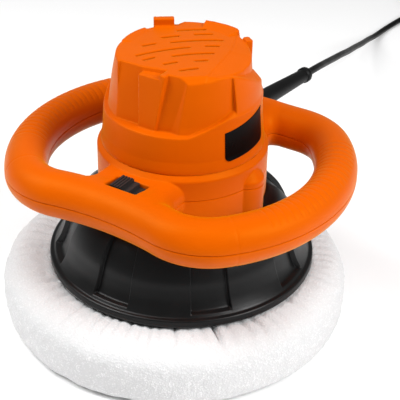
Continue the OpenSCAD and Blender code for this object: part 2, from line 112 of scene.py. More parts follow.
def cord_points():
    """From the boot along its route, three layers of coil turned clockwise, then on to the plug."""
    x0, y0 = ((low("cord_coil")[i] + high("cord_coil")[i]) / 2 for i in (0, 1))
    outer, inner, layer = COIL_OUTER, COIL_INNER, COIL_LAYER
    # turned angle, radius, height above the floor strand
    marks = [(0, outer, 0), (900, inner, 0), (990, inner, layer),
             (1820, outer, layer), (1885, outer, 2 * layer), (2735, inner + 0.8, 2 * layer),
             (2820, 28.4, 3 * layer), (2890, 39.0, 3 * layer), (2940, 48.5, 2.8 * layer),
             (2965, 52.5, 2.2 * layer)]
    turned, radii, heights = zip(*marks)
    points = [tuple(BOOT_TIP)] + ROUTE
    for degrees in [COIL_FIRST + COIL_STEP * i for i in range(COIL_POINTS)] + COIL_LAST:
        i = max(k for k, t in enumerate(turned[:-1]) if t <= degrees)
        t = (degrees - turned[i]) / (turned[i + 1] - turned[i])
        r = radii[i] + (radii[i + 1] - radii[i]) * t
        z = heights[i] + (heights[i + 1] - heights[i]) * (0.5 - 0.5 * math.cos(math.pi * t))
        a = math.pi - math.radians(degrees)
        points.append((x0 + r * math.cos(a), y0 + r * math.sin(a), LYING + z))
    return points + PLUG_ROUTE


def spline_curve(name, points, radius, resolution=6):
    data = bpy.data.curves.new(name, "CURVE")
    data.dimensions = "3D"
    data.bevel_depth = radius * MM
    data.bevel_resolution = 5
    data.resolution_u = resolution
    data.use_fill_caps = True
    spline = data.splines.new("BEZIER")
    spline.bezier_points.add(len(points) - 1)
    for point, co in zip(spline.bezier_points, points):
        point.co = Vector(co) * MM
        point.handle_left_type = point.handle_right_type = "AUTO"
    obj = bpy.data.objects.new(name, data)
    bpy.context.scene.collection.objects.link(obj)
    return obj


cord = spline_curve("mains_cord", cord_points(), FLOOR_R)


# ---------------------------------------------------------------- node helpers
class Nodes:
    """Short way to build a shader tree."""

    def __init__(self, name):
        self.material = bpy.data.materials.new(name)
        self.material.use_nodes = True
        self.tree = self.material.node_tree
        self.shader = self.tree.nodes["Principled BSDF"]

    def set(self, **values):
        for key, value in values.items():
            self.shader.inputs[key.replace("_", " ")].default_value = value

    def add(self, kind, inputs=None, **settings):
        node = self.tree.nodes.new("ShaderNode" + kind)
        for key, value in settings.items():
            setattr(node, key, value)
        for key, value in (inputs or {}).items():
            if isinstance(value, tuple) and len(value) == 2 and hasattr(value[0], "outputs"):
                self.tree.links.new(value[0].outputs[value[1]], node.inputs[key])
            else:
                node.inputs[key].default_value = value
        return node

    def link(self, node, output, key):
        self.tree.links.new(node.outputs[output], self.shader.inputs[key])

    def coordinates(self):
        return self.add("TexCoord")

    def bump(self, height, output, strength, distance, after=None):
        inputs = {"Height": (height, output), "Strength": strength, "Distance": distance}
        if after is not None:
            inputs["Normal"] = (after, "Normal")
        return self.add("Bump", inputs)


def ramp(kit, source, output, stops):
    node = kit.add("ValToRGB", {"Fac": (source, output)})
    elements = node.color_ramp.elements
    while len(elements) < len(stops):
        elements.new(0.5)
    for element, (place, colour) in zip(elements, stops):
        element.position = place
        element.color = (*colour, 1.0) if len(colour) == 3 else colour
    return node


def moulded(name, colour, darker, rough, grain=0.00012, scale=2600.0, strength=0.25, specular=0.5,
            tint=(1.0, 1.0, 1.0), sheen=(0.0, (1.0, 1.0, 1.0))):
    """Moulded plastic: a fine spark-eroded grain, faint flow marks and slightly uneven gloss."""
    kit = Nodes(name)
    where = kit.coordinates()
    broad = kit.add("TexNoise", {"Vector": (where, "Object"), "Scale": 26.0,
                                 "Detail": 3.0, "Roughness": 0.5})
    tone = ramp(kit, broad, "Fac", [(0.3, darker), (0.72, colour)])
    kit.link(tone, "Color", "Base Color")
    fine = kit.add("TexNoise", {"Vector": (where, "Object"), "Scale": scale,
                                "Detail": 2.0, "Roughness": 0.6})
    patches = kit.add("TexNoise", {"Vector": (where, "Object"), "Scale": 70.0,
                                   "Detail": 4.0, "Roughness": 0.6})
    gloss = kit.add("MapRange", {"Value": (patches, "Fac"), "From Min": 0.3, "From Max": 0.7,
                                 "To Min": rough - 0.04, "To Max": rough + 0.05})
    kit.link(gloss, "Result", "Roughness")
    kit.link(kit.bump(fine, "Fac", strength, grain), "Normal", "Normal")
    kit.set(Specular_IOR_Level=specular, Specular_Tint=(*tint, 1.0), Sheen_Weight=sheen[0],
            Sheen_Tint=(*sheen[1], 1.0), Sheen_Roughness=0.35)
    return kit.material


def metal(name, colour, rough, brushed=True, scale=900.0):
    """Bare metal with a fine grain, drawn out along Z where it is brushed, and dull patches."""
    kit = Nodes(name)
    where = kit.coordinates()
    drawn = 14.0 if brushed else 1.0
    stretch = kit.add("Mapping", {"Vector": (where, "Object"), "Scale": (1.0, 1.0, drawn)})
    grain = kit.add("TexNoise", {"Vector": (stretch, "Vector"), "Scale": scale,
                                 "Detail": 4.0, "Roughness": 0.7})
    stain = kit.add("TexNoise", {"Vector": (where, "Object"), "Scale": 60.0, "Detail": 3.0})
    dull = tuple(c * 0.78 for c in colour)
    tone = ramp(kit, stain, "Fac", [(0.35, dull), (0.65, colour)])
    kit.link(tone, "Color", "Base Color")
    gloss = kit.add("MapRange", {"Value": (grain, "Fac"),
                                 "To Min": rough - 0.1, "To Max": rough + 0.12})
    kit.link(gloss, "Result", "Roughness")
    kit.link(kit.bump(grain, "Fac", 0.2, 0.00008), "Normal", "Normal")
    kit.set(Metallic=1.0)
    return kit.material


def wound(name, colour, scale):
    """Lacquered copper wire laid side by side."""
    kit = Nodes(name)
    where = kit.coordinates()
    turns = kit.add("TexWave", {"Vector": (where, "Object"), "Scale": scale,
                                "Distortion": 1.2, "Detail": 1.0},
                    wave_type="BANDS", bands_direction="Z")
    tone = ramp(kit, turns, "Fac", [(0.1, tuple(c * 0.4 for c in colour)), (0.6, colour)])
    kit.link(tone, "Color", "Base Color")
    kit.link(kit.bump(turns, "Fac", 0.6, 0.0003), "Normal", "Normal")
    kit.set(Metallic=0.8, Roughness=0.35)
    return kit.material


def laminated(name, colour):
    """A stack of thin sheet steel."""
    kit = Nodes(name)
    where = kit.coordinates()
    sheets = kit.add("TexWave", {"Vector": (where, "Object"), "Scale": 320.0, "Distortion": 0.3},
                     wave_type="BANDS", bands_direction="Z")
    tone = ramp(kit, sheets, "Fac", [(0.2, tuple(c * 0.45 for c in colour)), (0.7, colour)])
    kit.link(tone, "Color", "Base Color")
    kit.link(kit.bump(sheets, "Fac", 0.5, 0.0002), "Normal", "Normal")
    kit.set(Metallic=1.0, Roughness=0.42)
    return kit.material


def foam_material():
    """Grey foam with small dark cells."""
    kit = Nodes("open_cell_foam")
    where = kit.coordinates()
    cells = kit.add("TexVoronoi", {"Vector": (where, "Object"), "Scale": 900.0})
    tone = ramp(kit, cells, "Distance", [(0.1, (0.012, 0.014, 0.018)), (0.6, (0.10, 0.115, 0.14))])
    kit.link(tone, "Color", "Base Color")
    kit.link(kit.bump(cells, "Distance", 0.9, 0.0006), "Normal", "Normal")
    kit.set(Roughness=0.95, Specular_IOR_Level=0.15)
    return kit.material


TOP_SHADE_FROM, TOP_SHADE_TO = 0.033, 0.041  # heights, in metres, over which painted shade turns the gathered top greyer


def terry_material():
    """Looped cotton: small tufts with painted shade at their roots, and painted shade that greys the
    gathered top.
    """
    kit = Nodes("terry_cloth")
    where = kit.coordinates()
    loops = kit.add("TexVoronoi", {"Vector": (where, "Object"), "Scale": 700.0, "Randomness": 1.0})
    lumps = kit.add("TexNoise", {"Vector": (where, "Object"), "Scale": 230.0,
                                 "Detail": 4.0, "Roughness": 0.6})
    both = kit.add("Math", {0: (loops, "Distance"), 1: (lumps, "Fac")}, operation="ADD")
    # painted shade at the roots: darker where the loops sink between cells and lumps
    tone = ramp(kit, both, "Value", [(0.45, (0.86, 0.86, 0.865)), (0.95, (0.63, 0.63, 0.635))])
    # painted shade: a greyer ramp for the gathered top, mixed in by height below
    top_shade = ramp(kit, both, "Value", [(0.3, (0.79, 0.795, 0.80)), (1.1, (0.67, 0.675, 0.68))])
    split = kit.add("SeparateXYZ", {"Vector": (where, "Object")})
    level = kit.add("MapRange", {"Value": (split, "Z"), "From Min": TOP_SHADE_FROM, "From Max": TOP_SHADE_TO})
    mixed = kit.add("MixRGB", {"Fac": (level, "Result"), "Color1": (tone, "Color"),
                               "Color2": (top_shade, "Color")})
    kit.link(mixed, "Color", "Base Color")
    kit.link(kit.bump(both, "Value", 0.55, -0.0007), "Normal", "Normal")
    kit.set(Roughness=1.0, Specular_IOR_Level=0.1, Sheen_Weight=0.35, Sheen_Roughness=0.5)
    return kit.material


ORANGE = moulded("orange_moulding", (0.60, 0.089, 0.0002), (0.57, 0.082, 0.0002), 0.42, specular=0.14,
                 tint=(1.0, 0.7, 0.02), sheen=(0.2, (0.8, 0.9, 0.0)))
BLACK = moulded("black_moulding", (0.004, 0.004, 0.0042), (0.003, 0.003, 0.003), 0.34,
                grain=0.0001, specular=0.24)
GLOSS_BLACK = moulded("label_film", (0.0015, 0.0015, 0.0015), (0.001, 0.001, 0.001), 0.3,
                      grain=0.00002, specular=0.06)
CHARCOAL = moulded("switch_plastic", (0.022, 0.020, 0.020), (0.017, 0.016, 0.016), 0.45,
                   specular=0.3)
RUBBER = moulded("cord_rubber", (0.003, 0.003, 0.003), (0.002, 0.002, 0.002), 0.45,
                 grain=0.00006, specular=0.13)
FOAM = foam_material()
TERRY = terry_material()
# one material for each material slot of the frame
FINISH = {
    "orange_plastic": ORANGE, "black_plastic": BLACK, "label_film": GLOSS_BLACK,
    "switch_plastic": CHARCOAL, "cord_rubber": RUBBER, "foam": FOAM, "terry": TERRY,
    "zinc_steel": metal("zinc_steel", (0.62, 0.62, 0.60), 0.34),
    "bearing_steel": metal("bearing_steel", (0.72, 0.72, 0.73), 0.2),
    "cast_alloy": metal("cast_alloy", (0.55, 0.55, 0.56), 0.55, brushed=False, scale=500.0),
    "counterweight_iron": metal("counterweight_iron", (0.20, 0.20, 0.21), 0.6,
                                brushed=False, scale=400.0),
    "core_steel": laminated("core_steel", (0.42, 0.43, 0.45)),
    "copper_winding": wound("copper_winding", (0.62, 0.24, 0.08), 240.0),
    "contact_brass": metal("contact_brass", (0.78, 0.56, 0.24), 0.3),
    "carbon": moulded("carbon", (0.03, 0.03, 0.03), (0.02, 0.02, 0.02), 0.6, scale=1500.0),
    "lead_sleeve": moulded("lead_sleeve", (0.16, 0.05, 0.02), (0.12, 0.04, 0.015), 0.45),
    "capacitor_case": moulded("capacitor_case", (0.55, 0.36, 0.05), (0.48, 0.30, 0.04), 0.3),
    "tie_plastic": moulded("tie_plastic", (0.03, 0.03, 0.03), (0.02, 0.02, 0.02), 0.5),
    "elastic_band": moulded("elastic_band", (0.80, 0.80, 0.78), (0.70, 0.70, 0.68), 0.9,
                            grain=0.0004, scale=900.0),
}
for part in frame["record"]["subparts"]:
    slots = frame["nodes"][part["node"]].data.materials
    for i in range(len(slots)):
        slots[i] = FINISH[part["material_slot"]]


def finish(obj, material, body, replaces):
    """Gives a new piece its material, the body it rides on and the nodes it stands in for."""
    obj.data.materials.clear()
    obj.data.materials.append(material)
    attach(obj, body)
    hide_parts(*replaces)
    return obj


# ---------------------------------------------------------------- mesh helpers
def mesh_object(name, verts, faces, smooth=True):
    mesh = bpy.data.meshes.new(name)
    mesh.from_pydata(verts, [], faces)
    mesh.update()
    if smooth:
        mesh.shade_smooth()
    obj = bpy.data.objects.new(name, mesh)
    bpy.context.scene.collection.objects.link(obj)
    return obj


def face_outward(obj):
    bm = bmesh.new()
    bm.from_mesh(obj.data)
    bmesh.ops.recalc_face_normals(bm, faces=bm.faces)
    bm.to_mesh(obj.data)
    bm.free()
    obj.data.shade_smooth()
    return obj


def smooth_min(a, b, k):
    """The smaller of two distances, with the corner between them rounded over about k."""
    h = np.clip(0.5 + 0.5 * (b - a) / k, 0.0, 1.0)
    return b + (a - b) * h - k * h * (1.0 - h)


def smooth_max(a, b, k):
    return -smooth_min(-a, -b, k)


def polygon(points, u, v):
    """Signed distance to a closed outline in the (u, v) plane, negative inside."""
    shape = np.broadcast_shapes(np.shape(u), np.shape(v))
    nearest = np.full(shape, 1e9, np.float32)
    inside = np.zeros(shape, bool)
    for (x0, y0), (x1, y1) in zip(points, points[1:] + points[:1]):
        ex, ey = x1 - x0, y1 - y0
        t = np.clip(((u - x0) * ex + (v - y0) * ey) / (ex * ex + ey * ey), 0.0, 1.0)
        nearest = np.minimum(nearest, (u - x0 - t * ex) ** 2 + (v - y0 - t * ey) ** 2)
        if y0 != y1:
            crosses = ((v >= y0) != (v >= y1)) & (u < x0 + ex * (v - y0) / ey)
            inside ^= crosses
    distance = np.sqrt(nearest)
    return np.where(inside, -distance, distance)


def box2(u, v, hu, hv, r):
    """Signed distance to a rectangle of half sizes hu and hv with corners of radius r."""
    qu, qv = np.abs(u) - (hu - r), np.abs(v) - (hv - r)
    return np.hypot(np.maximum(qu, 0), np.maximum(qv, 0)) + np.minimum(np.maximum(qu, qv), 0) - r


def gradient(field, p, h=0.08):
    g = np.empty_like(p)
    for k in range(3):
        step = np.zeros(3)
        step[k] = h
        g[:, k] = (field(*(p + step).T) - field(*(p - step).T)) / (2 * h)
    return g


SLAB, PASSES = 40, 3  # grid planes worked out at a time; corrections of each point


def field_mesh(field, lo, hi, cell):
    """Closed surface where the field is zero, with its points moved onto the exact surface."""
    counts = [int(math.ceil((b - a) / cell)) + 1 for a, b in zip(lo, hi)]
    x, y, z = (np.float32(a) + np.float32(cell) * np.arange(n, dtype=np.float32)
               for a, n in zip(lo, counts))
    values = np.empty(counts, np.float32)
    for i in range(0, counts[0], SLAB):
        values[i:i + SLAB] = np.broadcast_to(
            field(x[i:i + SLAB, None, None], y[None, :, None], z[None, None, :]),
            (len(x[i:i + SLAB]), counts[1], counts[2]))
    reach = 4.0 * cell
    grid = openvdb.FloatGrid(reach)
    grid.copyFromArray(np.clip(values, -reach, reach))
    points, quads = grid.convertToQuads(0.0)
    p = np.array(lo) + points.astype(float) * cell
    for _ in range(PASSES):
        g = gradient(field, p)
        d = field(*p.T)
        step = d[:, None] * g / np.maximum((g * g).sum(1), 0.3)[:, None]
        length = np.linalg.norm(step, axis=1, keepdims=True)
        p -= step * np.minimum(1.0, 0.5 * cell / np.maximum(length, 1e-9))
    a, b, c = p[quads[:, 0]], p[quads[:, 1]], p[quads[:, 2]]
    facing = (np.cross(b - a, c - b) * gradient(field, (a + c) / 2)).sum()
    if facing < 0:
        quads = quads[:, ::-1]
    return p, quads


SEAM_GAP = 0.42  # each half stops this far from the parting line
SEAM_LIP = [(0.35, 0.16), (1.6, 0.12)]  # how far the edge turns in, and how far from the line
OVERLAP = 2.0


def halves(p, quads, z, field):
    """Cuts a mesh at height z into a lower and an upper half whose edges turn in to a thin seam."""
    made = []
    for side in (-1, 1):
        bm = bmesh.new()
        verts = [bm.verts.new(co) for co in p]
        bm.verts.index_update()
        for quad in quads:
            zs = p[quad, 2]
            if (zs.max() > z - OVERLAP) if side > 0 else (zs.min() < z + OVERLAP):
                bm.faces.new([verts[i] for i in dict.fromkeys(quad)])
        bmesh.ops.delete(bm, geom=[v for v in bm.verts if not v.link_faces], context="VERTS")
        bmesh.ops.bisect_plane(bm, geom=bm.verts[:] + bm.edges[:] + bm.faces[:],
                               plane_co=(0, 0, z + side * SEAM_GAP),
                               plane_no=(0, 0, -side), clear_outer=True)
        rim = [e for e in bm.edges if e.is_boundary]
        for inward, height in SEAM_LIP:
            grown = bmesh.ops.extrude_edge_only(bm, edges=rim)["geom"]
            new = [g for g in grown if isinstance(g, bmesh.types.BMVert)]
            co = np.array([v.co for v in new])
            g = gradient(field, co)
            g[:, 2] = 0
            g /= np.maximum(np.linalg.norm(g, axis=1), 1e-6)[:, None]
            for vert, where, way in zip(new, co, g):
                vert.co = where - way * inward
                vert.co.z = z + side * height
            rim = [e for e in grown if isinstance(e, bmesh.types.BMEdge) and e.is_boundary]
        bmesh.ops.recalc_face_normals(bm, faces=bm.faces)
        made.append(bm)
    return made


def bmesh_object(name, bm):
    mesh = bpy.data.meshes.new(name)
    bm.to_mesh(mesh)
    bm.free()
    mesh.shade_smooth()
    mesh.transform(Matrix.Scale(MM, 4))
    obj = bpy.data.objects.new(name, mesh)
    bpy.context.scene.collection.objects.link(obj)
    return obj


# ---------------------------------------------------------------- housings
RING_Y, RING_R, TUBE_R, TUBE_H = -2.0, 112.0, 15.5, 33.4
FRONT_TURN, FRONT_R, BACK_TURN, BACK_R, DIP = 47.0, 40.0, 49.0, 42.0, 12.0
FRONT_X = (RING_R - FRONT_R) * math.sin(math.radians(FRONT_TURN))
FRONT_Y = RING_Y - (RING_R - FRONT_R) * math.cos(math.radians(FRONT_TURN))
BACK_X = (RING_R - BACK_R) * math.sin(math.radians(BACK_TURN))
BACK_Y = RING_Y + (RING_R - BACK_R) * math.cos(math.radians(BACK_TURN))
DIP_R = (FRONT_X - FRONT_R * math.sin(math.radians(DIP))) / math.sin(math.radians(DIP))
DIP_Y = FRONT_Y - (FRONT_R + DIP_R) * math.cos(math.radians(DIP))
BODY_R, FLOOR_Z, TOP_Z = 61.8, 104.0, 146.0
WALL_R, ROOM_Z, HOLE_R, HOLE_Z = 57.8, 107.0, 40.0, 110.0  # the space inside and the hole under it
SWITCH_X, SWITCH_Y, WELL_W, WELL_D, WELL_Z = 4.5, -76.0, 25.5, 16.5, 134.0
DECK_LEFT, DECK_RIGHT, DECK_HALF, DECK_ROUND, DECK_END = -23.5, 22.4, 2.9, 12.0, -40.0
BRIDGE_X, BRIDGE_HALF_W, BRIDGE_HALF_H, BRIDGE_ROUND = 4.0, 31.0, 15.3, 12.0
BRIDGE_FROM, BRIDGE_TO = 48.0, 86.0
BOSS_AWAY, BOSS_TURN, BOSS_R, BOSS_TOP = 55, 87, 13.0, 131.0
# rounding between the deck and the ring, and how much wider it is near one place
VALLEY, VALLEY_MORE, VALLEY_X, VALLEY_Y = 4.5, 8.0, 33.0, -68.0
FAR = 1e3


def turned_by(away, degrees):
    """Place at a distance from the axis and an angle from the front towards +X."""
    return away * math.sin(math.radians(degrees)), -away * math.cos(math.radians(degrees))


def ring_offset(x, y):
    """Distance outward from the handle's centreline in plan."""
    ax = np.abs(x)

    def bend(cx, cy, r, a0, a1, sign=1.0):
        angle = np.degrees(np.arctan2(y - cy, ax - cx))
        return np.where((angle >= a0) & (angle <= a1), sign * (np.hypot(ax - cx, y - cy) - r), FAR)

    best = bend(0.0, RING_Y, RING_R, FRONT_TURN - 90 - 0.1, 90 - BACK_TURN + 0.1)
    for other in (bend(FRONT_X, FRONT_Y, FRONT_R, -90 - DIP - 0.1, FRONT_TURN - 90),
                  bend(0.0, DIP_Y, DIP_R, 90 - DIP - 0.1, 95, -1.0),
                  bend(BACK_X, BACK_Y, BACK_R, 90 - BACK_TURN, 90.1),
                  np.where(ax <= BACK_X + 0.1, y - BACK_Y - BACK_R, FAR)):
        best = np.where(np.abs(other) < np.abs(best), other, best)
    return best


RIB_PITCH, RIB_DEPTH, RIB_SHARE = 5.6, 0.42, 0.28
RIBS_AT, RIBS_HALF, RIBS_FADE = 1, 33, 3.0  # degrees round the ring
RIBS_TILT, RIBS_TILT_HALF, RIBS_TILT_FADE = 92, 52, 10.0  # degrees round the tube
JOIN_AT, JOIN_SHIFT, JOIN_HALF, JOIN_DEPTH = 43.5, 3.0, 0.55, 0.25
DEGREE = 1.95  # millimetres along the ring in one degree


def grip_ribs(x, y, z, u):
    """Shallow grooves across the top of both sides, and a faint mould line nearer the front."""
    angle = np.degrees(np.arctan2(y - RING_Y, np.abs(x)))
    along = RING_R * np.radians(angle)
    wave = 0.5 + 0.5 * np.cos(2 * math.pi * along / RIB_PITCH)
    groove = np.maximum(wave - (1 - RIB_SHARE), 0.0) / RIB_SHARE
    reach = np.clip((RIBS_HALF - np.abs(angle - RIBS_AT)) / RIBS_FADE, 0, 1)
    tilt = np.degrees(np.arctan2(z - SPLIT, u))
    top = np.clip((RIBS_TILT_HALF - np.abs(tilt - RIBS_TILT)) / RIBS_TILT_FADE, 0, 1)
    join = np.exp(-((angle + JOIN_AT - JOIN_SHIFT * np.sign(x)) * DEGREE / JOIN_HALF) ** 2)
    return RIB_DEPTH * groove * reach * top + JOIN_DEPTH * join


def housing_field(x, y, z):
    """Ring handle, front deck, rear bridge and motor body in one, hollow, with the switch well."""
    u = ring_offset(x, y)
    rise = np.maximum(np.abs(z - SPLIT) - (TUBE_H / 2 - TUBE_R), 0)
    ring = np.hypot(u, rise) - TUBE_R + grip_ribs(x, y, z, u)
    deck = np.hypot(np.maximum(x - DECK_RIGHT, 0),
                    np.maximum(np.abs(z - SPLIT) - DECK_HALF, 0)) - DECK_ROUND
    deck = smooth_max(deck, DECK_LEFT - x, 2.6)
    front = smooth_max(np.maximum(deck, y - DECK_END), u - 1.0, 8.0)
    back = box2(x - BRIDGE_X, z - SPLIT, BRIDGE_HALF_W, BRIDGE_HALF_H, BRIDGE_ROUND)
    back = np.maximum(np.maximum(back, BRIDGE_FROM - y), y - BRIDGE_TO)
    r = np.hypot(x, y)
    body = polygon([(0.0, 90.0), (BODY_R, 90.0), (BODY_R, 141.2), (61.4, 142.0), (58.2, 145.6),
                    (58.0, TOP_Z + 1), (0.0, TOP_Z + 1)], r, z)
    boss_x, boss_y = turned_by(BOSS_AWAY, BOSS_TURN)
    across = np.hypot(np.abs(x) - boss_x, y - boss_y)
    boss = smooth_max(across - BOSS_R, 0.72 * (across - BOSS_R) + 0.69 * (z - BOSS_TOP), 0.8)
    body = smooth_min(body, boss, 0.3)
    body = smooth_max(body, FLOOR_Z - z, 1.0)
    valley = VALLEY + VALLEY_MORE * np.exp(-((x - VALLEY_X) ** 2 + (y - VALLEY_Y) ** 2) / 150.0)
    whole = smooth_min(smooth_min(smooth_min(body, front, 0.9), ring, valley), back, 8.0)
    whole = smooth_max(whole, z - TOP_Z, 0.6)
    well = box2(x - SWITCH_X, y - SWITCH_Y, WELL_W / 2, WELL_D / 2, 1.2)
    whole = smooth_max(whole, -np.maximum(well, WELL_Z - z), 0.9)
    room = np.maximum(r - WALL_R, ROOM_Z - z)
    hole = np.maximum(r - HOLE_R, z - HOLE_Z)
    return np.maximum(whole, -np.minimum(room, hole))


HOUSING_CELL = 0.85
p, quads = field_mesh(housing_field, (-131, -106, 102), (131, 106, 147.5), HOUSING_CELL)
lower, upper = halves(p, quads, SPLIT, housing_field)
finish(bmesh_object("lower_shell", lower), ORANGE, "housing", ["lower_housing"])
finish(bmesh_object("upper_shell", upper), ORANGE, "housing", ["upper_housing"])

# ---------------------------------------------------------------- motor cover
COVER_TOP, ROOF_Z = 213.0, 218.0
# radius of the top's edge at angles from the front towards +X
RIM = [(-180, 48.0), (-148, 47.8), (-142, 43.0), (-111, 43.0), (-108, 44.4), (-76, 44.4), (-50, 47.0),
       (-32, 49.2), (100, 48.0), (126, 46.0), (155, 45.8), (158, 48.6), (180, 48.0)]
# x, y, turn in degrees, half depth, half width, bottom, top
FEET = [(-34.4, 27.2, -36.9, 2.7, 7.4, 200.0, 218.2), (28.4, 39.2, 37.1, 2.4, 4.0, 197.0, 212.6)]
# the slots lie on circles about one centre: x, y of each middle, and length
VENT_CENTRE = (68.0, -66.0)
VENTS = [(-13, 30, 22), (-18.5, 11.5, 14), (-1.5, 28, 14), (0.5, 16, 38),
         (-23, -8.5, 11), (14.5, 14, 11), (-10, -11.5, 41), (10.5, -5, 30),
         (-10, -28, 10), (6, -26, 11), (21, -11, 10), (21.5, -27.5, 14)]
VENT_R, VENT_Z = 1.05, 203.0
COVER_ROOM_R, COVER_ROOM_FROM, COVER_ROOM_TO = 36.0, 196.0, 204.5
FACETS_Z = 173.0  # the front facets start here


def beyond(x, y, degrees):
    """Distance past the half plane at an angle measured from the front towards +X, positive past it."""
    a = np.radians(degrees)
    return np.cos(a) * x + np.sin(a) * y


def cover_body(r, angle, x, y, z):
    """The lower band with its ledge, the cap above it and the wall that stands proud of both."""
    ledge = 172.5 + 0.36 * np.maximum(angle - 36.0, 0) + 0.36 * np.maximum(-angle - 58.0, 0)
    step = beyond(x, y, 73.0 - 0.05 * (z - 186.0))
    band = polygon([(0.0, 145.2), (58.9, 145.2), (58.7, 148.0), (57.6, 154.0), (56.0, 176.0),
                    (56.3, 182.0), (50.5, 190.0), (0.0, 190.0)], r, z)
    shelf = np.where(angle < 120, np.minimum(z - ledge, -step), -50.0)
    band = smooth_max(band, shelf, 1.4)
    cap = polygon([(0.0, 160.0), (53.0, 160.0), (53.0, 172.0), (50.6, 190.0), (49.4, 213.0),
                   (49.2, ROOF_Z), (0.0, ROOF_Z)], r, z)
    rim = np.interp(angle, *zip(*RIM)).astype(np.float32)
    spread = np.where((angle > 90) & (angle < 156), 0.085, 0.2)
    cap = smooth_max(cap, (r - rim - spread * (COVER_TOP - z)) * 0.98, 0.8)
    wall = polygon([(0.0, 160.0), (52.6, 160.0), (52.4, 174.0), (50.7, 209.5), (50.3, ROOF_Z),
                    (0.0, ROOF_Z)], r, z)
    wall = np.maximum(wall, -beyond(x, y, 20.0))
    wall = np.maximum(wall, beyond(x, y, 100.0))
    proud = polygon([(0.0, 165.0), (55.0, 165.0), (55.6, 182.0), (54.6, 193.0), (52.4, 208.0),
                     (51.7, ROOF_Z), (0.0, ROOF_Z)], r, z)
    proud = np.maximum(np.maximum(proud, -step), beyond(x, y, 116.0))
    return band, cap, np.minimum(wall, proud)


def cover_lid(x, y):
    """Height of the top: level, with a creased fall to the right and a lower front corner."""
    slope = np.maximum(0.983 * x + 0.184 * y - 31.0, 0.926 * x + 0.378 * y - 32.3)
    corner = 0.62 * x - 0.785 * y - 46.5
    lid = COVER_TOP - 0.17 * np.maximum(slope, 0.0) - 0.55 * np.clip(slope / 0.7, 0, 1)
    return lid - 0.9 * np.maximum(corner, 0.0) * (x > 0)


def front_facets(x, y, z):
    """Three solids cut out of the front: a left facet, the middle panel and a deep one to its right."""
    h = z - FACETS_Z
    panel_left, panel_right = -4.3 - 0.045 * h, 9.5 + 0.145 * h
    left = np.maximum(np.maximum(-24.0 - 0.02 * h - x, x - panel_left), y + 46.8 - 0.152 * h)
    panel = np.maximum(np.maximum(panel_left - x, x - panel_right), y + 49.8 - 0.086 * h)
    along, out = 0.891 * x + 0.454 * y, 0.454 * x - 0.891 * y
    back_plane = y + 46.0 - 0.1 * h - 0.32 * (x - 16.0) * (1.0 - h / 60.0)
    lean = 4.8 / (6.8 - 0.115 * h)
    facet = (out - 47.6 + 0.085 * h - lean * (along + 5.2 - 0.254 * h)) / np.sqrt(1 + lean * lean)
    deep = np.maximum(panel_right - x, np.maximum(back_plane, -facet))
    return left, panel, deep


def cover_foot(x, y, z, foot_x, foot_y, degrees, half_depth, half_width, bottom, top):
    a = math.radians(degrees)
    dx, dy = x - foot_x, y - foot_y
    out, side = math.sin(a) * dx + math.cos(a) * dy, math.cos(a) * dx - math.sin(a) * dy
    foot = box2(out, side, half_depth, half_width, 0.8)
    return np.maximum(foot, np.maximum(z - top, bottom - z))


def vent_slots(x, y):
    """Plan distance to the nearest round-ended slot."""
    centre_x, centre_y = VENT_CENTRE
    slot_r = np.hypot(x - centre_x, y - centre_y)
    slot_a = np.arctan2(y - centre_y, x - centre_x) % (2 * math.pi)
    vents = FAR
    for sx, sy, length in VENTS:
        radius = math.hypot(sx - centre_x, sy - centre_y)
        middle = math.atan2(sy - centre_y, sx - centre_x) % (2 * math.pi)
        along = np.maximum(np.abs(radius * (slot_a - middle)) - length / 2 + VENT_R, 0)
        vents = np.minimum(vents, np.hypot(along, slot_r - radius) - VENT_R)
    return vents


def cover_field(x, y, z):
    """Stepped, faceted and vented cover with two feet on top."""
    r = np.hypot(x, y)
    angle = np.degrees(np.arctan2(x, -y))
    band, cap, outer_wall = cover_body(r, angle, x, y, z)
    lid = cover_lid(x, y)
    edge = 0.9 * np.maximum(r - 48.8, 0.0) * np.clip((y + 12.0) / 24.0, 0, 1)
    fall = 0.25 * np.maximum(y + 16.4, 0.0) + edge
    outer_wall = smooth_max(outer_wall, z - lid + fall, 1.2)
    bulk = np.minimum(cap, outer_wall)
    for cutter in front_facets(x, y, z):
        bulk = smooth_max(bulk, -cutter, 0.7)
    notch_back = y + 41.0 - 0.231 * (x + 9.4) + 0.4 * (COVER_TOP - z)
    notch = np.maximum(np.abs(x - 0.6) - 9.8, notch_back)
    bulk = smooth_max(bulk, -np.maximum(notch, 210.0 - z), 0.5)
    lip = np.clip((r - 37.0) / 11.0, 0, 1)
    lip_back = np.where((angle > 156) | (angle < -167), 3.0 * lip, 0.0)
    lip_left = np.where((angle < -72) & (angle > -108), 1.6 * lip, 0.0)
    bulk = smooth_max(bulk, z - lid - lip_back - lip_left, 0.9)
    whole = smooth_min(bulk, band, 1.0)
    for foot in FEET:
        whole = smooth_min(whole, cover_foot(x, y, z, *foot), 0.8)
    whole = smooth_max(whole, -np.maximum(vent_slots(x, y), VENT_Z - z), 0.3)
    room = np.maximum(r - COVER_ROOM_R, np.maximum(COVER_ROOM_FROM - z, z - COVER_ROOM_TO))
    return np.maximum(whole, -room)


COVER_CELL = 0.8
p, quads = field_mesh(cover_field, (-64, -64, 144.5), (64, 64, 220.5), COVER_CELL)
finish(mesh_object("motor_hood", p * MM, quads), ORANGE, "housing", ["motor_cover"])


# ---------------------------------------------------------------- label plate
LABEL_FROM, LABEL_SPAN, LABEL_CORNER, LABEL_PROUD = 62.5, 41.5, 0.16, 0.45
LABEL_HEIGHTS, LABEL_RADII = [149.0, 154.0, 176.0, 182.0], [59.8, 57.8, 56.0, 56.3]


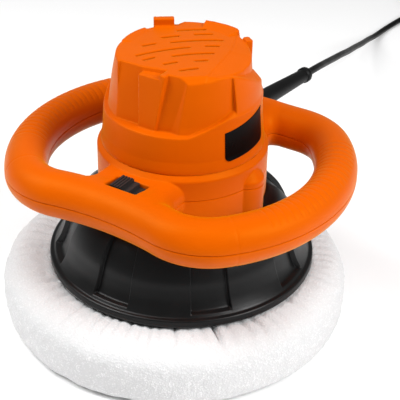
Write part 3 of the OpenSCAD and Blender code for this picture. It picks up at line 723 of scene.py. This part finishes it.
def label_plate():
    """Plain plate bent round the cover's band, with rounded lower corners."""
    rows, columns = 26, 60
    verts = []
    for j in range(rows + 1):
        v = j / rows
        for i in range(columns + 1):
            u = i / columns
            across = u
            if v < LABEL_CORNER:
                round_off = math.sqrt(max(0.0, 1 - ((LABEL_CORNER - v) / LABEL_CORNER) ** 2))
                across = u + (0.5 - u) * LABEL_CORNER * (1 - round_off)
            top = 172.6 + 6.2 * across ** 1.1
            bottom = 151.6 + 2.4 * across
            z = bottom + (top - bottom) * v
            r = np.interp(z, LABEL_HEIGHTS, LABEL_RADII) + LABEL_PROUD
            verts.append((*turned_by(r, LABEL_FROM + LABEL_SPAN * across), z))
    wide = columns + 1
    faces = [(j * wide + i, j * wide + i + 1, (j + 1) * wide + i + 1, (j + 1) * wide + i)
             for j in range(rows) for i in range(columns)]
    obj = mesh_object("name_plate", np.array(verts) * MM, faces)
    thick = obj.modifiers.new("thickness", "SOLIDIFY")
    thick.thickness, thick.offset = 0.0006, -1.0
    edge = obj.modifiers.new("edge", "BEVEL")
    edge.width, edge.segments, edge.limit_method = 0.0002, 2, "ANGLE"
    return obj


finish(label_plate(), GLOSS_BLACK, "housing", ["label_plate"])

# ---------------------------------------------------------------- skirt
SKIRT_BOTTOM = 48.0
# radius and height from the rim up the outside, then down the inside
SKIRT = [(100.0, SKIRT_BOTTOM), (100.3, 49.0), (100.0, 52.6), (99.4, 53.3), (97.2, 53.8),
         (96.6, 54.4), (94.2, 58.0), (91.5, 63.0), (89.0, 69.6), (86.8, 76.5), (83.4, 83.6),
         (79.5, 90.0), (75.2, 95.2), (70.5, 99.5), (63.2, 103.8)]
SKIRT_INSIDE = [(58.0, 101.6), (65.0, 93.0), (74.0, 83.6), (80.6, 71.0), (85.4, 60.0), (90.6, 52.6),
                (96.4, 49.6), (97.4, SKIRT_BOTTOM)]
SKIRT_SHARP = (0, 5, 14)
WINDOW, WINDOW_AT, WINDOWS, WINDOW_DEPTH, WINDOW_Z = 17.5, 0.5, 8, 3.6, 56.6
WINDOW_PITCH = 360.0 / WINDOWS


def resample(profile, step, sharp=()):
    """Points along an outline about a step apart, on a smooth curve between the sharp ones."""
    out = []
    for i in range(len(profile) - 1):
        a, b = np.array(profile[i]), np.array(profile[i + 1])
        n = max(1, int(round(np.linalg.norm(b - a) / step)))
        p0 = np.array(profile[i - 1]) if i and i not in sharp else 2 * a - b
        p3 = np.array(profile[i + 2]) if i + 2 < len(profile) and i + 1 not in sharp else 2 * b - a
        for k in range(n):
            t = k / n
            out.append(0.5 * (2 * a + (b - p0) * t + (2 * p0 - 5 * a + 4 * b - p3) * t * t
                              + (3 * a - p0 - 3 * b + p3) * t ** 3))
    out.append(np.array(profile[-1]))
    return np.array(out)


def skirt_angles():
    """Columns every degree, with close pairs where a window's wall stands."""
    angles = set()
    for k in range(WINDOWS):
        middle = WINDOW_AT + WINDOW_PITCH * k
        for side in (-1, 1):
            for d in (-0.42, -0.22, -0.1, 0.1, 0.22, 0.42):
                angles.add(round(middle + side * WINDOW / 2 + d, 3) % 360)
        for d in np.arange(-8.0, 8.1, 1.0):
            angles.add(round(middle + d, 3) % 360)
        for d in np.arange(9.75, 35.6, 1.0):
            angles.add(round(middle + d, 3) % 360)
    return sorted(angles)


def window_depth(degrees, z):
    """How far the surface is sunk at an angle and a height."""
    off = abs((degrees - WINDOW_AT + WINDOW_PITCH / 2) % WINDOW_PITCH - WINDOW_PITCH / 2) - WINDOW / 2
    inside = 1 / (1 + math.exp(max(-60, min(60, off * 26.0))))
    height = 1 / (1 + math.exp(-(z - WINDOW_Z) * 5.0))
    return WINDOW_DEPTH * inside * height


def skirt():
    """Bell with sunk windows outside and a smooth inside."""
    angles = skirt_angles()
    n = len(angles)
    verts = []
    outer = resample(SKIRT, 1.1, sharp=SKIRT_SHARP)
    for r, z in outer:
        for degrees in angles:
            sunk = window_depth(degrees, z)
            verts.append((*turned_by(r - 0.86 * sunk, degrees), max(z - 0.5 * sunk, SKIRT_BOTTOM)))
    for r, z in SKIRT_INSIDE:
        verts += [(*turned_by(r, degrees), z) for degrees in angles]
    rows = [range(k * n, k * n + n) for k in range(len(outer) + len(SKIRT_INSIDE))]
    rows.append(rows[0])
    faces = [(a[i], a[(i + 1) % n], b[(i + 1) % n], b[i])
             for a, b in zip(rows, rows[1:]) for i in range(n)]
    return face_outward(mesh_object("flared_skirt", np.array(verts) * MM, faces))


finish(skirt(), BLACK, "housing", ["skirt"])

# ---------------------------------------------------------------- foam pad and bonnet
PAD = [(low("bonnet")[i] + high("bonnet")[i]) / 2 for i in (0, 1)]
FOLDS = 74
HEM_R, GATHER_FROM, GATHER_TO = 98, 30.0, 44.0
FOLD_DEPTH, LUMP, LOOP = 4.4, 0.9, 0.5


def lathe(name, outline, columns, shape=None):
    """Closed surface turned about the pad's axis, from an outline that starts and ends on it."""
    verts, faces, rows = [], [], []
    for k, (r, z) in enumerate(outline):
        if r < 1e-6:
            rows.append([len(verts)])
            verts.append((PAD[0], PAD[1], z))
            continue
        row = []
        for i in range(columns):
            a = 2 * math.pi * i / columns
            rr, zz = shape(k, r, z, a) if shape else (r, z)
            row.append(len(verts))
            verts.append((PAD[0] + rr * math.sin(a), PAD[1] - rr * math.cos(a), zz))
        rows.append(row)
    for a, b in zip(rows, rows[1:]):
        for i in range(columns):
            j = (i + 1) % columns
            if len(a) == 1:
                faces.append((a[0], b[j], b[i]))
            elif len(b) == 1:
                faces.append((a[i], a[j], b[0]))
            else:
                faces.append((a[i], a[j], b[j], b[i]))
    return face_outward(mesh_object(name, np.array(verts) * MM, faces))


# radius and height from the axis underneath, round the edge, to the axis on top
FOAM_OUTLINE = [(0, 4.0), (60, 4.0), (108, 4.0), (116, 4.6), (120.4, 7.0), (122.2, 11.0),
                (122.4, 18.0), (122.3, 26.0), (120.6, 33.0), (117.0, 37.4), (111.0, 38.9),
                (92.0, 39.0), (40.0, 39.0), (0, 39.0)]
foam = finish(lathe("foam_disc", FOAM_OUTLINE, 120), FOAM, "pad", ["foam_pad"])


def pucker(a):
    """Valley, depth and reach of the gathers at an angle: narrow valleys between uneven folds."""
    drift = 1.5 * noise.noise(Vector((2.1 * math.cos(a), 2.1 * math.sin(a), 7.3)))
    wander = 0.9 * noise.noise(Vector((9.0 * math.cos(a), 9.0 * math.sin(a), 1.7)))
    phase = FOLDS / 2 * a + 2.0 * drift + wander
    strength = 0.35 + 4.6 * noise.noise(Vector((7.0 * math.cos(a), 7.0 * math.sin(a), 3.1))) ** 2
    reach = 1.5 + 1.6 * noise.noise(Vector((11.0 * math.cos(a), 11.0 * math.sin(a), 9.4)))
    return 1 - abs(math.sin(phase)) ** 0.5, min(strength, 1.35), reach


# outside of the cloth from the axis underneath up to the hem, then its inside back to the axis
CLOTH = [(0, 0.0), (60, 0.0), (110, 0.2), (120, 0.4), (125.2, 1.8), (128.6, 5.4), (130.2, 11.0),
         (130.9, 18.0), (131.0, 26.0), (130.0, 33.0), (127.2, 38.8), (122.0, 43.2), (115.5, 45.8),
         (108.0, 46.8), (102.0, 46.4), (97.0, 45.6), (94.2, 44.6)]
CLOTH_INSIDE = [(93.6, 43.4), (94.0, 42.0), (98.0, 41.2), (106.0, 41.0), (114.0, 40.4),
                (120.0, 37.6), (123.4, 32.0), (124.0, 24.0), (123.9, 14.0), (122.0, 8.0),
                (117.0, 3.4), (108.0, 2.8), (60.0, 2.8), (0.0, 2.8)]


def bonnet():
    """Cloth over the foam: soft lumps and loops on the side, gathers towards the hem."""
    outer = resample(CLOTH, 2.0)
    outline = [tuple(p) for p in outer] + CLOTH_INSIDE
    outline[0] = (0.0, 0.0)
    shell = len(outer)
    folds = {}

    def shape(k, r, z, a):
        if k >= shell:
            return r, z
        if a not in folds:
            folds[a] = pucker(a)
        valley, strength, reach = folds[a]
        p = Vector((r * math.cos(a), r * math.sin(a), z))
        lump = noise.fractal(p * 0.045, 0.8, 2.0, 3)
        loop = noise.noise(p * 0.42) + 0.6 * noise.noise(p * 0.9)
        if z < 1.0 and r < 114:
            return r, z + 0.25 * abs(loop)
        up = min(max((z - GATHER_FROM) / (GATHER_TO - GATHER_FROM), 0.0), 1.0)
        near = min(max((127.0 - r) / 25.0, 0.0), 1.0) * up
        fold = valley * strength * near ** reach
        side = 1.0 - near
        ragged = 0.0
        if r < HEM_R:
            ragged = 1.2 * noise.noise(Vector((60 * math.cos(a), 60 * math.sin(a), 0.5)))
        bulge = 1.3 * (1 - valley) * near * (1 - near) * 2
        rr = r + side * (LUMP * lump + LOOP * loop) * min(1.0, (z + 1) / 6) + ragged
        zz = z - FOLD_DEPTH * fold + 0.6 * lump * near + 0.35 * loop * near + bulge
        return rr, max(zz, 0.0)

    return lathe("terry_bonnet", outline, 460, shape)


cloth = finish(bonnet(), TERRY, "pad", ["bonnet"])

# ---------------------------------------------------------------- stage and light
FLOOR_HALF, FLOOR_GAP = 6, 0.0002
WORLD_LIGHT = 0.27
LIGHTS_AIM_Z = 0.12
# name, azimuth, elevation, distance, size, power
LIGHTS = [("key_left", -50, 50, 1.3, (0.6, 0.8), 14), ("fill_right", 92, 36, 1.4, (0.6, 0.8), 18),
          ("top", 20, 74, 1.4, (0.9, 0.9), 5)]


def softbox(name, azimuth, elevation, away, size, power):
    light = bpy.data.lights.new(name, "AREA")
    light.shape, light.size, light.size_y, light.energy = "RECTANGLE", size[0], size[1], power
    obj = bpy.data.objects.new(name, light)
    back = direction(azimuth, elevation)
    obj.location = Vector((0, 0, LIGHTS_AIM_Z)) + away * back
    obj.rotation_euler = (-back).to_track_quat("-Z", "Y").to_euler()
    bpy.context.scene.collection.objects.link(obj)


def studio():
    """White floor, even white surroundings and three softboxes."""
    scene = bpy.context.scene
    corners = [(x * FLOOR_HALF, y * FLOOR_HALF, 0) for x, y in ((-1, -1), (1, -1), (1, 1), (-1, 1))]
    floor = mesh_object("studio_floor", corners, [(0, 1, 2, 3)], smooth=False)
    floor.location.z = low("bonnet")[2] * MM - FLOOR_GAP
    kit = Nodes("studio_floor")
    kit.set(Base_Color=(0.95, 0.95, 0.95, 1.0), Roughness=0.9, Specular_IOR_Level=0.1)
    floor.data.materials.append(kit.material)
    world = bpy.data.worlds.new("studio")
    scene.world = world
    world.use_nodes = True
    sky = world.node_tree.nodes["Background"].inputs
    sky["Color"].default_value = (1.0, 1.0, 1.0, 1.0)
    sky["Strength"].default_value = WORLD_LIGHT
    for light in LIGHTS:
        softbox(*light)
    scene.view_settings.view_transform = "Standard"
    scene.view_settings.look = "None"


studio()

# ---------------------------------------------------------------- cord pieces
finish(cord, RUBBER, "housing", ["power_cord", "cord_coil", "plug_lead"])
